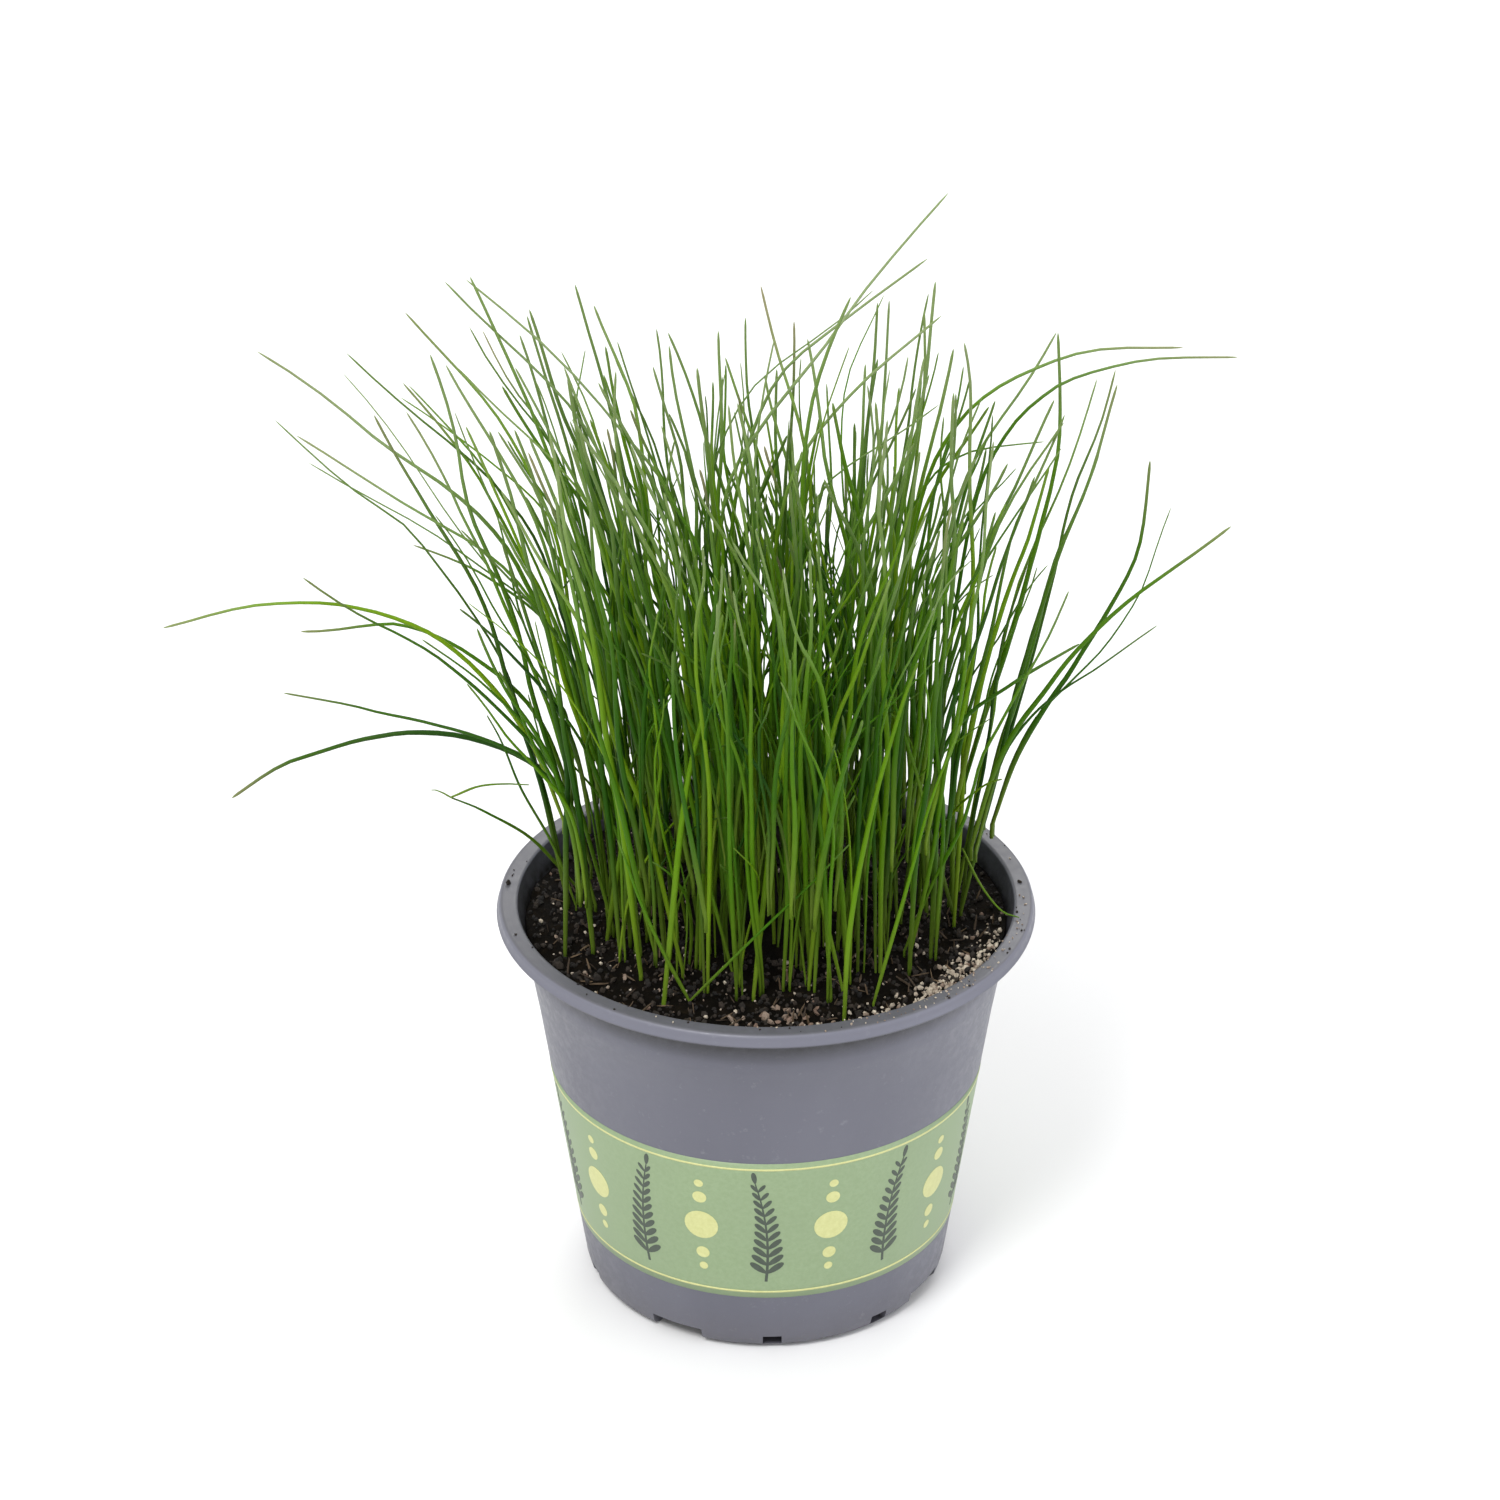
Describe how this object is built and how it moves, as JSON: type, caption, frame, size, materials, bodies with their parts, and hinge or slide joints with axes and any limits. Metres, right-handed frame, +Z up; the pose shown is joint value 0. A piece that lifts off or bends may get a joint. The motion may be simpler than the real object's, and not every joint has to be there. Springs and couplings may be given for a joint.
{
  "type": "potted chives",
  "caption": "Clump of long thin chive leaves growing from soil in a tapered round plastic pot with a flat rim and a notched foot.",
  "frame": {"origin": "centre of the pot's underside, on its axis, at the ground that the foot stands on", "axes": "+Z up along the pot's axis, -Y to the front, +X to the right seen from the front"},
  "size_m": [0.2501, 0.163, 0.2762],
  "materials": {
    "pot_plastic": "satin blue-grey moulded plastic with a pale sage printed band",
    "soil": "loose moist peat with pale grit",
    "chive_leaf": "fresh green waxy leaves, paler at the foot and greyer at the tip"
  },
  "bodies": {
    "root": {"pot": "pot_plastic", "soil": "soil", "chive_plant_01": "chive_leaf", "chive_plant_02": "chive_leaf", "chive_plant_03": "chive_leaf", "chive_plant_04": "chive_leaf", "chive_plant_05": "chive_leaf", "chive_plant_06": "chive_leaf", "chive_plant_07": "chive_leaf", "chive_plant_08": "chive_leaf", "chive_plant_09": "chive_leaf", "chive_plant_10": "chive_leaf", "chive_plant_11": "chive_leaf", "chive_plant_12": "chive_leaf", "chive_plant_13": "chive_leaf", "chive_plant_14": "chive_leaf", "chive_plant_15": "chive_leaf", "chive_plant_16": "chive_leaf", "chive_plant_17": "chive_leaf", "chive_plant_18": "chive_leaf", "chive_plant_19": "chive_leaf", "chive_plant_20": "chive_leaf", "chive_plant_21": "chive_leaf", "chive_plant_22": "chive_leaf", "chive_plant_23": "chive_leaf", "chive_plant_24": "chive_leaf", "chive_plant_25": "chive_leaf", "chive_plant_26": "chive_leaf", "chive_plant_27": "chive_leaf", "chive_plant_28": "chive_leaf", "chive_plant_29": "chive_leaf", "chive_plant_30": "chive_leaf", "chive_plant_31": "chive_leaf", "chive_plant_32": "chive_leaf", "chive_plant_33": "chive_leaf", "chive_plant_34": "chive_leaf", "chive_plant_35": "chive_leaf", "chive_plant_36": "chive_leaf", "chive_plant_37": "chive_leaf", "chive_plant_38": "chive_leaf", "chive_plant_39": "chive_leaf", "chive_plant_40": "chive_leaf", "chive_plant_41": "chive_leaf", "chive_plant_42": "chive_leaf", "chive_plant_43": "chive_leaf", "chive_plant_44": "chive_leaf", "chive_plant_45": "chive_leaf", "chive_plant_46": "chive_leaf", "chive_plant_47": "chive_leaf", "chive_plant_48": "chive_leaf", "chive_plant_49": "chive_leaf", "chive_plant_50": "chive_leaf", "chive_plant_51": "chive_leaf", "chive_plant_52": "chive_leaf", "chive_plant_53": "chive_leaf", "chive_plant_54": "chive_leaf", "chive_plant_55": "chive_leaf", "chive_plant_56": "chive_leaf", "chive_plant_57": "chive_leaf", "chive_plant_58": "chive_leaf"}
  },
  "joints": []
}
